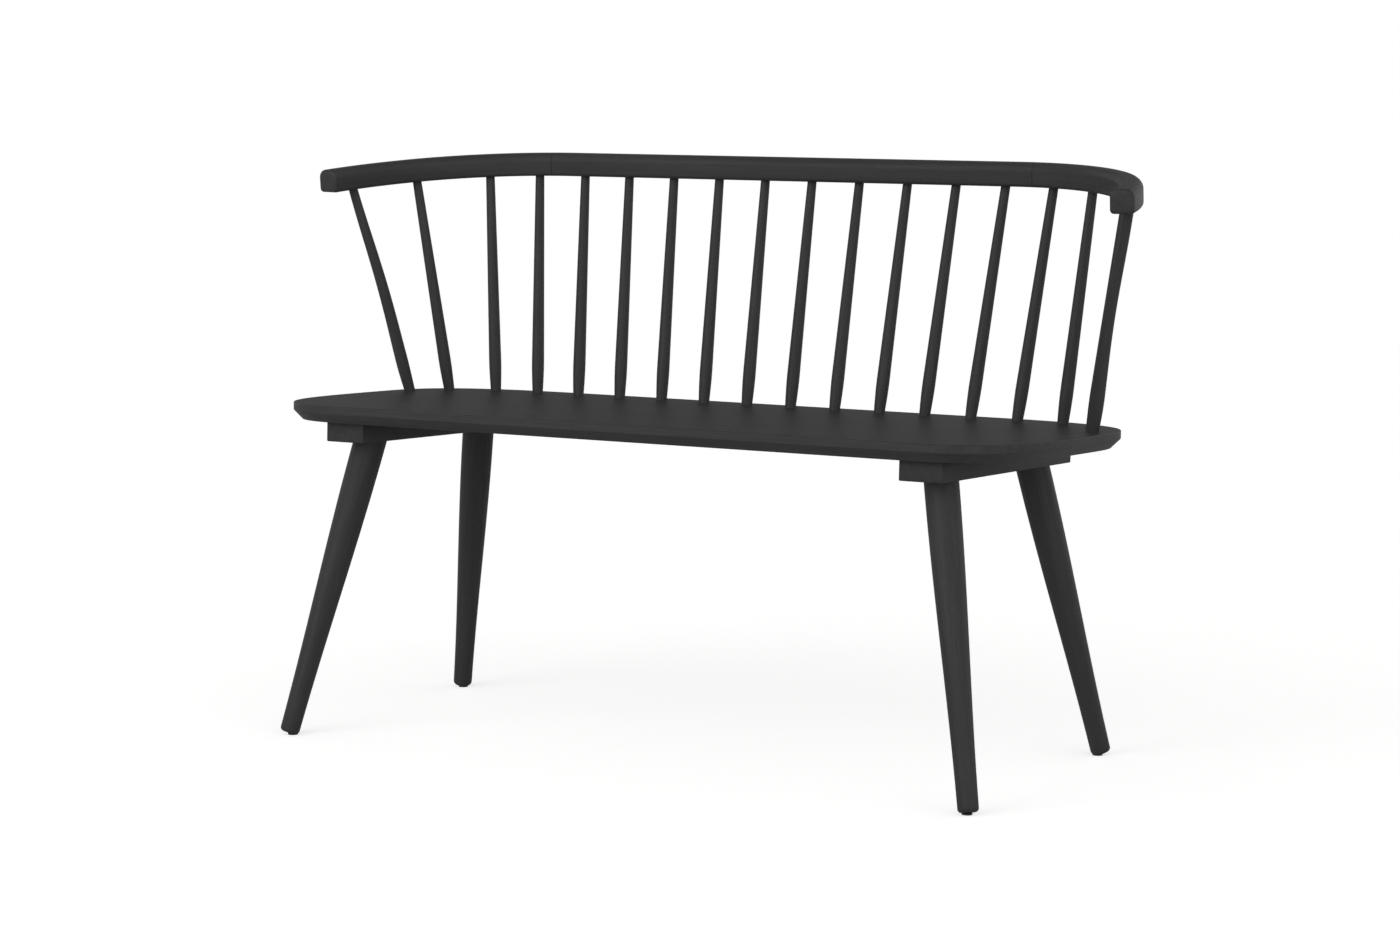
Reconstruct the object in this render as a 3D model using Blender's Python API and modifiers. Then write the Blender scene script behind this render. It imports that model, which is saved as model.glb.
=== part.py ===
"""Dining bench with a low bow back, eighteen spindles and four splayed turned legs.

Metres, +Z up. The origin is on the floor under the middle of the bench. +X is to the
right of someone who faces the bench, and -Y is its front. Left and right are named
as that person sees them.
"""

import math

import bmesh
import bpy
from mathutils import Matrix, Vector

# Fits
GAP = 0.0003  # left between pieces that touch, and all round a pin in its bore
OVERCUT = 0.010  # how far a cutter runs past the face it opens

# Seat board: a tilted plane, with y counted back from the front edge
SEAT_HEIGHT = 0.4500  # front top edge above the floor
SEAT_TILT = math.radians(1.94)  # the seat falls towards the back
SEAT_LENGTH = 1.0984
SEAT_DEPTH = 0.4795
SEAT_FRONT_STRAIGHT = 0.7630  # straight run of the front edge
SEAT_BACK_STRAIGHT = 0.5710
SEAT_WIDEST = 0.2961  # how far back the board is widest
SEAT_FRONT_POWER = 3.50  # squareness of the front corners, 2 being an ellipse
SEAT_BACK_POWER = 3.11
SEAT_EDGE = 0.0107  # upright part of the edge
SEAT_UNDERCUT = 0.0123  # bevel under it, as wide as it is high
SEAT_ARRIS = 0.0012
SEAT_THICKNESS = SEAT_EDGE + SEAT_UNDERCUT
SEAT_CORNER_STEPS = 14

# Battens under the seat, on the same tilted plane
BATTEN_SPACING = 0.8444  # between their centre lines
BATTEN_WIDTH = 0.0584
BATTEN_THICKNESS = 0.0266
BATTEN_FRONT = 0.0333
BATTEN_LENGTH = 0.4010
BATTEN_ARRIS = 0.0015
BATTEN_TOP = -SEAT_THICKNESS - GAP
BATTEN_UNDERSIDE = BATTEN_TOP - BATTEN_THICKNESS

# Bow: back rail and two arms, in one plane that falls towards the front
BOW_Y = 0.4924  # centre line of the back rail behind the seat's front edge
BOW_HEIGHT = 0.7587  # centre line of the back rail above the floor
BOW_TILT = math.radians(5.12)
BOW_STRAIGHT = 0.3429  # half of the straight run, from the middle
CORNER_RADIUS = 0.2354
CORNER_LENGTH = 0.2432
ARM_RADIUS = 0.3598
ARM_LENGTH = 0.1481  # of the flatter curve in front of the corner
BOW_JOINT = 0.3730  # butt joint, along the bow from its middle
BOW_STEP = 0.0240  # between the rings of a curved stretch
BOW_END_STEP = 0.0010  # to the ring next to a butt joint, which keeps its face square to the bow
RAIL_WIDTH = 0.0315
RAIL_THICKNESS = 0.0315
RAIL_TOP_RADIUS = 0.0105
RAIL_BOTTOM_RADIUS = 0.0050
ARM_END_RADIUS = 0.0045

# Spindles: stations are counted along the seat line and along the bow from the middle
SPINDLES = 18
SPINDLE_LINE = 0.4390  # feet of the middle ones behind the front edge
SPINDLE_STRAIGHT = 0.4050  # half of the straight part of the line of feet
SPINDLE_LINE_RADIUS = 0.1170
FOOT_PITCH = 0.0675
HEAD_PITCH = 0.0723
END_HEAD_PITCH = 0.1076  # of the last two heads at each end
END_SPINDLES = 2
SPINDLE_FOOT = 0.0148  # diameters
SPINDLE_SWELL = 0.0175
SPINDLE_HEAD = 0.0125
SPINDLE_SWELL_HEIGHT = 0.0450  # thickest this far above the seat
SPINDLE_BOW = 0.0033  # how far the first and the last one bend towards the middle
SEAT_SOCKET = 0.0160
RAIL_SOCKET = 0.0180
SPINDLE_SIDES = 12

# Legs: where the axis meets the floor, and the underside of its batten
FRONT_FOOT_X = 0.5026
FRONT_FOOT_Y = 0.0110
REAR_FOOT_X = 0.4998
REAR_FOOT_Y = 0.4389
FRONT_TOP_X = 0.4224
FRONT_TOP_Y = 0.0940
REAR_TOP_X = 0.4250
REAR_TOP_Y = 0.3680
LEG_FOOT = 0.0262  # diameters
LEG_TOP = 0.0438
LEG_SWELL_LEAD = 0.0200  # the swelling curve starts this far below the foot
LEG_RIM_RADIUS = 0.0050
LEG_END_HEIGHT = 0.0033  # middle of the turned end above the floor
LEG_SIDES = 20
LEG_RINGS = 12

# Hardware
GLIDE_DIAMETER = 0.0135
GLIDE_THICKNESS = 0.0022
GLIDE_EASE = 0.0006
GLIDE_INSET = 0.0050  # from the leg's axis towards the middle of the bench
GLIDE_PIN = 0.0030
GLIDE_PIN_LENGTH = 0.0120
BOLT_DIAMETER = 0.0080
BOLT_IN_LEG = 0.0400
BOLT_IN_BATTEN = 0.0180
BOLT_POINT = 0.0040
INSERT_DIAMETER = 0.0120
INSERT_LENGTH = 0.0160
INSERT_DEPTH = 0.0025  # below it, so that it clears the leg's top
SCREW_DIAMETER = 0.0045
SCREW_HEAD = 0.0085
SCREW_HEAD_HEIGHT = 0.0030
SCREW_POINT = 0.0040
SCREW_IN_SEAT = 0.0120
SCREW_ENDS = 0.0180  # first and last screw from the batten's ends
SCREWS = 4  # in each batten
DOWEL_DIAMETER = 0.0080
DOWEL_LENGTH = 0.0300
DOWEL_SPACING = 0.0130
DOWEL_EASE = 0.0008
PIN_SIDES = 12
PAD_SIDES = 16

# The bow's rear face sets the depth, which the origin halves
BOW_REACH = (
    (RAIL_THICKNESS / 2 - RAIL_BOTTOM_RADIUS) * math.cos(BOW_TILT)
    + (RAIL_WIDTH / 2 - RAIL_BOTTOM_RADIUS) * math.sin(BOW_TILT)
    + RAIL_BOTTOM_RADIUS
)
FRONT_Y = -(BOW_Y + BOW_REACH) / 2
SEAT_FRAME = Matrix.Translation((0, FRONT_Y, SEAT_HEIGHT)) @ Matrix.Rotation(-SEAT_TILT, 4, "X")
BOW_FRAME = Matrix.Translation((0, FRONT_Y + BOW_Y, BOW_HEIGHT)) @ Matrix.Rotation(BOW_TILT, 4, "X")

# Finishes: colour, roughness, metallic
STAINED_WOOD = ((0.047, 0.046, 0.047), 0.42, 0.0)
BEECH = ((0.55, 0.38, 0.22), 0.60, 0.0)
ZINC = ((0.55, 0.55, 0.53), 0.35, 1.0)
BLACK_NYLON = ((0.015, 0.015, 0.016), 0.50, 0.0)


def clear_scene():
    """Remove every object that the scene starts with."""
    for obj in list(bpy.data.objects):
        bpy.data.objects.remove(obj, do_unlink=True)


def new_collection(name):
    """A new collection in the scene."""
    collection = bpy.data.collections.new(name)
    bpy.context.scene.collection.children.link(collection)
    return collection


def dress(obj, finish):
    """Give the piece its own material."""
    colour, roughness, metallic = finish
    material = bpy.data.materials.new(obj.name + "_finish")
    material.use_nodes = True
    shader = material.node_tree.nodes["Principled BSDF"]
    shader.inputs["Base Color"].default_value = (*colour, 1.0)
    shader.inputs["Roughness"].default_value = roughness
    shader.inputs["Metallic"].default_value = metallic
    material.diffuse_color = (*colour, 1.0)
    obj.data.materials.clear()
    obj.data.materials.append(material)


def place(obj, collection, parent=None, placement=None):
    """Link an object, in the frame of its parent."""
    collection.objects.link(obj)
    obj.parent = parent
    if placement is not None:
        obj.matrix_local = placement
    return obj


def add_frame(name, placement):
    """An empty that carries the pieces of one tilted plane."""
    empty = bpy.data.objects.new(name, None)
    empty.matrix_world = placement
    PARTS.objects.link(empty)
    return empty


def along(start, end):
    """Placement with its origin at start and its +Z towards end."""
    turn = (end - start).to_track_quat("Z", "Y").to_matrix().to_4x4()
    return Matrix.Translation(start) @ turn


def as_mesh(obj, collection):
    """Turn a curve or a live modifier into a mesh object of its own, with welded caps."""
    bpy.context.view_layer.update()
    evaluated = obj.evaluated_get(bpy.context.evaluated_depsgraph_get())
    mesh = bpy.data.meshes.new_from_object(evaluated)
    work = bmesh.new()
    work.from_mesh(mesh)
    bmesh.ops.remove_doubles(work, verts=work.verts, dist=GAP / 10)
    work.to_mesh(mesh)
    work.free()
    name, parent, placement = obj.name, obj.parent, obj.matrix_local.copy()
    bpy.data.objects.remove(obj, do_unlink=True)
    return place(bpy.data.objects.new(name, mesh), collection, parent, placement)


def smooth(obj, angle=35.0):
    """Shade smooth, with the edges sharper than the angle kept."""
    obj.data.shade_smooth()
    obj.data.set_sharp_from_angle(angle=math.radians(angle))


def turned(name, profile, sides, parent=None, placement=None):
    """A turned piece. The profile holds (radius, z) from the top of its outer side down."""
    mesh = bpy.data.meshes.new(name)
    corners = [(radius, 0.0, z) for radius, z in profile]
    mesh.from_pydata(corners, [(i, i + 1) for i in range(len(corners) - 1)], [])
    obj = place(bpy.data.objects.new(name, mesh), PARTS, parent, placement)
    screw = obj.modifiers.new("turn", "SCREW")
    screw.axis = "Z"
    screw.angle = math.tau
    screw.steps = screw.render_steps = sides
    screw.use_smooth_shade = True
    screw.use_merge_vertices = True
    screw.merge_threshold = 0.00005
    return obj


def as_cutter(obj):
    """Keep a cutter out of the render and draw it as wire."""
    obj.hide_render = True
    obj.display_type = "WIRE"
    return obj


def bores(name, holes, sides, parent=None):
    """One cutter for many round holes, each given as start, end, radius and end radius."""
    work = bmesh.new()
    for start, end, radius, end_radius in holes:
        depth = (end - start).length
        middle = along(start, end) @ Matrix.Translation((0, 0, depth / 2))
        bmesh.ops.create_cone(
            work, cap_ends=True, segments=sides, radius1=radius, radius2=end_radius, depth=depth, matrix=middle
        )
    mesh = bpy.data.meshes.new(name)
    work.to_mesh(mesh)
    work.free()
    return as_cutter(place(bpy.data.objects.new(name, mesh), CUTTERS, parent))


def block(name, low, high, collection, parent=None):
    """A box between two corners."""
    work = bmesh.new()
    size = [b - a for a, b in zip(low, high)]
    centre = [(a + b) / 2 for a, b in zip(low, high)]
    bmesh.ops.create_cube(work, size=1.0, matrix=Matrix.Translation(centre) @ Matrix.Diagonal((*size, 1.0)))
    mesh = bpy.data.meshes.new(name)
    work.to_mesh(mesh)
    work.free()
    return place(bpy.data.objects.new(name, mesh), collection, parent)


def cut(obj, cutter):
    """Cut the cutter's shape out of the object."""
    boolean = obj.modifiers.new(cutter.name, "BOOLEAN")
    boolean.operation = "DIFFERENCE"
    boolean.object = cutter


# Seat


def seat_side():
    """Right half of the seat's outline, from the front to the back."""
    half = SEAT_LENGTH / 2
    front = SEAT_FRONT_STRAIGHT / 2
    back = SEAT_BACK_STRAIGHT / 2
    points = []
    for step in range(SEAT_CORNER_STEPS + 1):
        angle = math.pi / 2 * step / SEAT_CORNER_STEPS
        across = math.sin(angle) ** (2 / SEAT_FRONT_POWER)
        forward = abs(math.cos(angle)) ** (2 / SEAT_FRONT_POWER)
        points.append((front + (half - front) * across, SEAT_WIDEST * (1 - forward)))
    for step in range(1, SEAT_CORNER_STEPS + 1):
        angle = math.pi / 2 * step / SEAT_CORNER_STEPS
        across = abs(math.cos(angle)) ** (2 / SEAT_BACK_POWER)
        backward = math.sin(angle) ** (2 / SEAT_BACK_POWER)
        points.append((back + (half - back) * across, SEAT_WIDEST + (SEAT_DEPTH - SEAT_WIDEST) * backward))
    return points


def bevel_rim(work, height, width, segments):
    """Bevel the edges of the face at one height."""
    rim = [edge for edge in work.edges if all(abs(vert.co.z - height) < GAP for vert in edge.verts)]
    bmesh.ops.bevel(
        work, geom=rim, offset=width, offset_type="OFFSET", segments=segments, profile=0.5, affect="EDGES"
    )


def add_seat(seat_frame):
    """The seat board, with its undercut edge."""
    right = seat_side()
    left = [(-x, y) for x, y in reversed(right)]
    curve = bpy.data.curves.new("seat", "CURVE")
    curve.dimensions = "2D"
    curve.fill_mode = "BOTH"
    curve.extrude = SEAT_THICKNESS / 2
    outline = curve.splines.new("POLY")
    outline.points.add(len(right + left) - 1)
    for point, (x, y) in zip(outline.points, right + left):
        point.co = (x, y, 0.0, 1.0)
    outline.use_cyclic_u = True
    middle = Matrix.Translation((0, 0, -SEAT_THICKNESS / 2))
    seat = as_mesh(place(bpy.data.objects.new("seat", curve), PARTS, seat_frame, middle), PARTS)
    work = bmesh.new()
    work.from_mesh(seat.data)
    bmesh.ops.dissolve_limit(work, angle_limit=math.radians(1), verts=work.verts, edges=work.edges)
    bevel_rim(work, -SEAT_THICKNESS / 2, SEAT_UNDERCUT, 1)
    bevel_rim(work, SEAT_THICKNESS / 2, SEAT_ARRIS, 2)
    bmesh.ops.recalc_face_normals(work, faces=work.faces)
    work.to_mesh(seat.data)
    work.free()
    smooth(seat)
    dress(seat, STAINED_WOOD)
    return seat


def add_batten(name, side, seat_frame):
    """A batten that stiffens the seat and takes two legs."""
    middle = side * BATTEN_SPACING / 2
    low = (middle - BATTEN_WIDTH / 2, BATTEN_FRONT, BATTEN_UNDERSIDE)
    high = (middle + BATTEN_WIDTH / 2, BATTEN_FRONT + BATTEN_LENGTH, BATTEN_TOP)
    batten = block(name, low, high, PARTS, seat_frame)
    arris = batten.modifiers.new("arris", "BEVEL")
    arris.width = BATTEN_ARRIS
    arris.segments = 2
    dress(batten, STAINED_WOOD)
    return batten


# Bow


def bow_point(station):
    """Point on the bow's centre line in its own plane, and its tangent towards the right."""
    distance = abs(station)
    side = math.copysign(1, station)
    turn = min(max(distance - BOW_STRAIGHT, 0), CORNER_LENGTH) / CORNER_RADIUS
    x = min(distance, BOW_STRAIGHT) + CORNER_RADIUS * math.sin(turn)
    y = -CORNER_RADIUS * (1 - math.cos(turn))
    past_corner = max(distance - BOW_STRAIGHT - CORNER_LENGTH, 0) / ARM_RADIUS
    x += ARM_RADIUS * (math.sin(turn + past_corner) - math.sin(turn))
    y += ARM_RADIUS * (math.cos(turn + past_corner) - math.cos(turn))
    heading = turn + past_corner
    return Vector((side * x, y, 0)), Vector((math.cos(heading), -side * math.sin(heading), 0))


def stations_between(start, end):
    """Stations that are close enough to follow the bow's curve, ends included."""
    count = max(1, round(abs(end - start) / BOW_STEP))
    return [start + (end - start) * step / count for step in range(count + 1)]


def rail_section():
    """Section of the bow: nearly square, with a rounder top."""
    curve = bpy.data.curves.new("rail_section", "CURVE")
    curve.dimensions = "2D"
    points = []
    for quarter, radius in enumerate((RAIL_TOP_RADIUS, RAIL_TOP_RADIUS, RAIL_BOTTOM_RADIUS, RAIL_BOTTOM_RADIUS)):
        across = (RAIL_THICKNESS / 2 - radius) * (1, -1, -1, 1)[quarter]
        up = (RAIL_WIDTH / 2 - radius) * (1, 1, -1, -1)[quarter]
        steps = 4 if radius == RAIL_TOP_RADIUS else 2
        for step in range(steps + 1):
            angle = math.pi / 2 * (quarter + step / steps)
            points.append((across + radius * math.cos(angle), up + radius * math.sin(angle)))
    spline = curve.splines.new("POLY")
    spline.points.add(len(points) - 1)
    for point, (across, up) in zip(spline.points, points):
        point.co = (across, up, 0.0, 1.0)
    spline.use_cyclic_u = True
    return as_cutter(place(bpy.data.objects.new("rail_section", curve), CUTTERS))


def add_bow_piece(name, rings, section, bow_frame):
    """A length of the bow through rings, each a station and the share of the section there."""
    curve = bpy.data.curves.new(name, "CURVE")
    curve.dimensions = "3D"
    curve.twist_mode = "Z_UP"
    curve.bevel_mode = "OBJECT"
    curve.bevel_object = section
    curve.use_fill_caps = True
    spline = curve.splines.new("POLY")
    spline.points.add(len(rings) - 1)
    for point, (station, share) in zip(spline.points, rings):
        point.co = (*bow_point(station)[0], 1.0)
        point.radius = share
    piece = as_mesh(place(bpy.data.objects.new(name, curve), PARTS, bow_frame), PARTS)
    work = bmesh.new()
    work.from_mesh(piece.data)
    bmesh.ops.recalc_face_normals(work, faces=work.faces)
    work.to_mesh(piece.data)
    work.free()
    smooth(piece)
    dress(piece, STAINED_WOOD)
    return piece


def arm_rings(side):
    """Rings of an arm from its butt joint to its eased front end."""
    corner_end = BOW_STRAIGHT + CORNER_LENGTH
    tip = corner_end + ARM_LENGTH
    stations = [BOW_JOINT + GAP / 2] + stations_between(BOW_JOINT + GAP / 2 + BOW_END_STEP, corner_end)
    stations += stations_between(corner_end, tip - ARM_END_RADIUS)[1:]
    rings = [(side * station, 1.0) for station in stations]
    for step in (1, 2, 3):
        angle = math.pi / 2 * step / 3
        inset = ARM_END_RADIUS * (1 - math.cos(angle))
        share = 1 - inset / (RAIL_THICKNESS / 2)
        rings.append((side * (tip - ARM_END_RADIUS * (1 - math.sin(angle))), share))
    return rings


def add_bow(bow_frame):
    """Back rail and arms."""
    section = rail_section()
    end = BOW_JOINT - GAP / 2
    right_end = stations_between(BOW_STRAIGHT, end - BOW_END_STEP) + [end]
    straight = [-station for station in reversed(right_end)] + right_end
    return [
        add_bow_piece("back_rail", [(station, 1.0) for station in straight], section, bow_frame),
        add_bow_piece("left_arm", arm_rings(-1), section, bow_frame),
        add_bow_piece("right_arm", arm_rings(1), section, bow_frame),
    ]


def add_dowels(side_name, side, bow_frame):
    """Two dowels across one butt joint, and their bores."""
    centre, tangent = bow_point(side * BOW_JOINT)
    holes = []
    for height_name, height in (("upper", DOWEL_SPACING / 2), ("lower", -DOWEL_SPACING / 2)):
        middle = centre + Vector((0, 0, height))
        start = middle - tangent * DOWEL_LENGTH / 2
        end = middle + tangent * DOWEL_LENGTH / 2
        radius = DOWEL_DIAMETER / 2
        profile = [
            (0, DOWEL_LENGTH),
            (radius - DOWEL_EASE, DOWEL_LENGTH),
            (radius, DOWEL_LENGTH - DOWEL_EASE),
            (radius, DOWEL_EASE),
            (radius - DOWEL_EASE, 0),
            (0, 0),
        ]
        dowel = turned(f"{side_name}_{height_name}_dowel", profile, PIN_SIDES, bow_frame, along(start, end))
        dress(dowel, BEECH)
        holes.append((start - tangent * GAP, end + tangent * GAP, radius + GAP, radius + GAP))
    return bores(f"{side_name}_dowel_bores", holes, PIN_SIDES, bow_frame)


# Spindles


def foot_point(station):
    """Point on the line of spindle feet on the seat's top."""
    distance = abs(station)
    turn = max(distance - SPINDLE_STRAIGHT, 0) / SPINDLE_LINE_RADIUS
    x = min(distance, SPINDLE_STRAIGHT) + SPINDLE_LINE_RADIUS * math.sin(turn)
    y = SPINDLE_LINE - SPINDLE_LINE_RADIUS * (1 - math.cos(turn))
    return Vector((math.copysign(x, station), y, 0))


def spindle_line(number):
    """Where the axis of a spindle leaves the seat and enters the bow."""
    rank = number - (SPINDLES + 1) / 2
    side = math.copysign(1, rank)
    even = min(abs(rank), (SPINDLES - 1) / 2 - END_SPINDLES)
    head_station = even * HEAD_PITCH + (abs(rank) - even) * END_HEAD_PITCH
    foot = SEAT_FRAME @ foot_point(rank * FOOT_PITCH)
    head = BOW_FRAME @ (bow_point(side * head_station)[0] - Vector((0, 0, RAIL_WIDTH / 2)))
    return foot, head


def spindle_profile(length):
    """Radii of a spindle from its top down to its foot in the seat."""
    foot, swell, head = SPINDLE_FOOT / 2, SPINDLE_SWELL / 2, SPINDLE_HEAD / 2
    profile = [(0, length + RAIL_SOCKET), (head, length + RAIL_SOCKET)]
    for share in (0, 0.25, 0.5, 0.75):
        profile.append((head + (swell - head) * share, length + (SPINDLE_SWELL_HEIGHT - length) * share))
    for share in (1, 0.75, 0.5, 0.25, 0):
        profile.append((foot + (swell - foot) * math.sin(math.pi / 2 * share), SPINDLE_SWELL_HEIGHT * share))
    return profile + [(foot, -SEAT_SOCKET), (0, -SEAT_SOCKET)]


def bend(spindle, length, towards):
    """Bend the part of a spindle that shows, with its ends left straight."""
    spindle = as_mesh(spindle, PARTS)
    sideways = spindle.matrix_world.to_3x3().inverted() @ towards
    sideways.z = 0
    for vert in spindle.data.vertices:
        share = min(max(vert.co.z / length, 0), 1)
        vert.co += sideways.normalized() * SPINDLE_BOW * math.sin(math.pi * share) ** 2
    return spindle


def add_spindles():
    """All spindles, and the cutters of their sockets in the seat and the bow."""
    seat_holes, bow_holes = [], []
    for number in range(1, SPINDLES + 1):
        foot, head = spindle_line(number)
        axis = (head - foot).normalized()
        length = (head - foot).length
        name = f"spindle_{number:02d}"
        spindle = turned(name, spindle_profile(length), SPINDLE_SIDES, None, along(foot, head))
        if number in (1, SPINDLES):
            spindle = bend(spindle, length, Vector((-head.x, 0, 0)))
        dress(spindle, STAINED_WOOD)
        foot_radius = SPINDLE_FOOT / 2 + GAP
        head_radius = SPINDLE_HEAD / 2 + GAP
        seat_holes.append((foot + axis * OVERCUT, foot - axis * (SEAT_SOCKET + GAP), foot_radius, foot_radius))
        bow_holes.append((head - axis * OVERCUT, head + axis * (RAIL_SOCKET + GAP), head_radius, head_radius))
    return bores("seat_sockets", seat_holes, SPINDLE_SIDES), bores("bow_sockets", bow_holes, SPINDLE_SIDES)


# Legs


def leg_radius(distance, length):
    """Radius of a leg this far up its axis."""
    share = (distance + LEG_SWELL_LEAD) / (length + LEG_SWELL_LEAD)
    swell = (1 - math.cos(math.pi * min(share, 1))) / 2
    return (LEG_FOOT + (LEG_TOP - LEG_FOOT) * swell) / 2


def leg_profile(length):
    """Radii of a leg from past its top down to its rounded foot."""
    top = length + LEG_TOP
    profile = [(0, top), (LEG_TOP / 2, top)]
    for ring in range(LEG_RINGS, 0, -1):
        height = LEG_RIM_RADIUS + (length - LEG_RIM_RADIUS) * ring / LEG_RINGS
        profile.append((leg_radius(height, length), height))
    for step in range(4):
        angle = math.pi / 2 * step / 3
        radius = leg_radius(LEG_RIM_RADIUS, length) - LEG_RIM_RADIUS * (1 - math.cos(angle))
        profile.append((radius, LEG_RIM_RADIUS * (1 - math.sin(angle))))
    return profile + [(0, 0)]


def add_leg(name, side, foot, top, trims):
    """One leg with its glide, hanger bolt and threaded insert, and the insert's bore."""
    foot = Vector((side * foot[0], FRONT_Y + foot[1], 0))
    top = SEAT_FRAME @ Vector((side * top[0], top[1], BATTEN_UNDERSIDE))
    axis = (top - foot).normalized()
    end = foot + axis * (LEG_END_HEIGHT / axis.z)
    leg = turned(f"{name}_leg", leg_profile((top - end).length), LEG_SIDES, None, along(end, top))
    dress(leg, STAINED_WOOD)
    for trim in trims:
        cut(leg, trim)

    inward = Vector((axis.x, axis.y, 0)).normalized()
    glide_point = Vector((end.x, end.y, 0)) + inward * GLIDE_INSET
    pad, pin = GLIDE_DIAMETER / 2, GLIDE_PIN / 2
    pin_top = GLIDE_THICKNESS + GLIDE_PIN_LENGTH
    profile = [(0, pin_top), (pin, pin_top), (pin, GLIDE_THICKNESS), (pad, GLIDE_THICKNESS)]
    profile += [(pad, GLIDE_EASE), (pad - GLIDE_EASE, 0), (0, 0)]
    glide = turned(f"{name}_glide", profile, PAD_SIDES, None, Matrix.Translation(glide_point))
    dress(glide, BLACK_NYLON)
    pin_hole = (glide_point, glide_point + Vector((0, 0, pin_top + GAP)), pin + GAP, pin + GAP)
    cut(leg, bores(f"{name}_pin_bore", [pin_hole], PAD_SIDES))

    radius = BOLT_DIAMETER / 2
    length = BOLT_IN_LEG + BOLT_IN_BATTEN
    profile = [(0, length), (radius, length), (radius, BOLT_POINT), (radius / 3, 0), (0, 0)]
    bolt_start = top - axis * BOLT_IN_LEG
    bolt = turned(f"{name}_hanger_bolt", profile, PIN_SIDES, None, along(bolt_start, top))
    dress(bolt, ZINC)
    bolt_hole = (top + axis * OVERCUT * 2, bolt_start - axis * GAP, radius + GAP, radius + GAP)
    cut(leg, bores(f"{name}_bolt_bore", [bolt_hole], PIN_SIDES))

    inner, outer = radius + GAP, INSERT_DIAMETER / 2
    start = top + axis * INSERT_DEPTH
    profile = [(inner, INSERT_LENGTH), (outer, INSERT_LENGTH), (outer, 0), (inner, 0), (inner, INSERT_LENGTH)]
    insert = turned(f"{name}_insert", profile, PIN_SIDES, None, along(start, start + axis))
    dress(insert, ZINC)
    bore_end = start + axis * (INSERT_LENGTH + GAP)
    return top - axis * OVERCUT, bore_end, outer + GAP, outer + GAP


def add_legs(battens):
    """Four legs, each bolted to a batten."""
    reach = SEAT_LENGTH
    below = block("floor_trim", (-reach, -reach, -reach), (reach, reach, GLIDE_THICKNESS + GAP), CUTTERS)
    above = block(
        "batten_trim",
        (-reach, -reach, BATTEN_UNDERSIDE - GAP),
        (reach, reach, reach),
        CUTTERS,
    )
    above.matrix_world = SEAT_FRAME
    trims = [as_cutter(below), as_cutter(above)]
    front = ((FRONT_FOOT_X, FRONT_FOOT_Y), (FRONT_TOP_X, FRONT_TOP_Y))
    rear = ((REAR_FOOT_X, REAR_FOOT_Y), (REAR_TOP_X, REAR_TOP_Y))
    for side_name, side in (("left", -1), ("right", 1)):
        holes = [
            add_leg(f"front_{side_name}", side, *front, trims),
            add_leg(f"rear_{side_name}", side, *rear, trims),
        ]
        cut(battens[side], bores(f"{side_name}_insert_bores", holes, PIN_SIDES))


# Screws


def add_screws(side_name, side, seat_frame, batten, seat):
    """Countersunk screws through one batten into the seat."""
    shank, head = SCREW_DIAMETER / 2, SCREW_HEAD / 2
    length = BATTEN_THICKNESS + GAP + SCREW_IN_SEAT
    profile = [(0, length), (shank, length - SCREW_POINT), (shank, SCREW_HEAD_HEIGHT), (head, 0), (0, 0)]
    run = BATTEN_LENGTH - 2 * SCREW_ENDS
    up = Vector((0, 0, 1))
    holes, sinks = [], []
    for index in range(SCREWS):
        y = BATTEN_FRONT + SCREW_ENDS + run * index / (SCREWS - 1)
        start = Vector((side * BATTEN_SPACING / 2, y, BATTEN_UNDERSIDE))
        name = f"{side_name}_batten_screw_{index + 1}"
        screw = turned(name, profile, PIN_SIDES, seat_frame, Matrix.Translation(start))
        dress(screw, ZINC)
        holes.append((start - up * OVERCUT, start + up * (length + GAP), shank + GAP, shank + GAP))
        slope = (head - shank) / SCREW_HEAD_HEIGHT
        sink_radius = head + GAP + slope * OVERCUT
        sinks.append((start - up * OVERCUT, start + up * SCREW_HEAD_HEIGHT, sink_radius, shank + GAP))
    bore = bores(f"{side_name}_screw_bores", holes, PIN_SIDES, seat_frame)
    cut(batten, bore)
    cut(seat, bore)
    cut(batten, bores(f"{side_name}_countersinks", sinks, PIN_SIDES, seat_frame))


def build():
    """Make every piece of the bench."""
    seat_frame = add_frame("seat_frame", SEAT_FRAME)
    bow_frame = add_frame("bow_frame", BOW_FRAME)
    seat = add_seat(seat_frame)
    battens = {-1: add_batten("left_batten", -1, seat_frame), 1: add_batten("right_batten", 1, seat_frame)}
    back_rail, left_arm, right_arm = add_bow(bow_frame)
    seat_sockets, bow_sockets = add_spindles()
    cut(seat, seat_sockets)
    for piece in (back_rail, left_arm, right_arm):
        cut(piece, bow_sockets)
    for side_name, side, arm in (("left", -1, left_arm), ("right", 1, right_arm)):
        dowel_bores = add_dowels(side_name, side, bow_frame)
        cut(back_rail, dowel_bores)
        cut(arm, dowel_bores)
        add_screws(side_name, side, seat_frame, battens[side], seat)
    add_legs(battens)


clear_scene()
PARTS = new_collection("dining_bench")
CUTTERS = new_collection("cutters")
build()
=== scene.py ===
"""Looks of the dining bench: smooth pieces in black-stained wood, and a plain pale studio.

Metres, +Z up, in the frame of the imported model: +X to the right of someone who faces the
bench, -Y its front, and the origin on the floor under its middle. Each class makes one
sub-assembly in that part's own plane or axis, then sets it in place inside its mesh.
"""

import logging
import math
from collections.abc import Mapping, Sequence
from dataclasses import dataclass, field
from enum import Enum
from itertools import pairwise
from typing import Any

import bmesh
import bpy
from mathutils import Matrix, Vector


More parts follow.
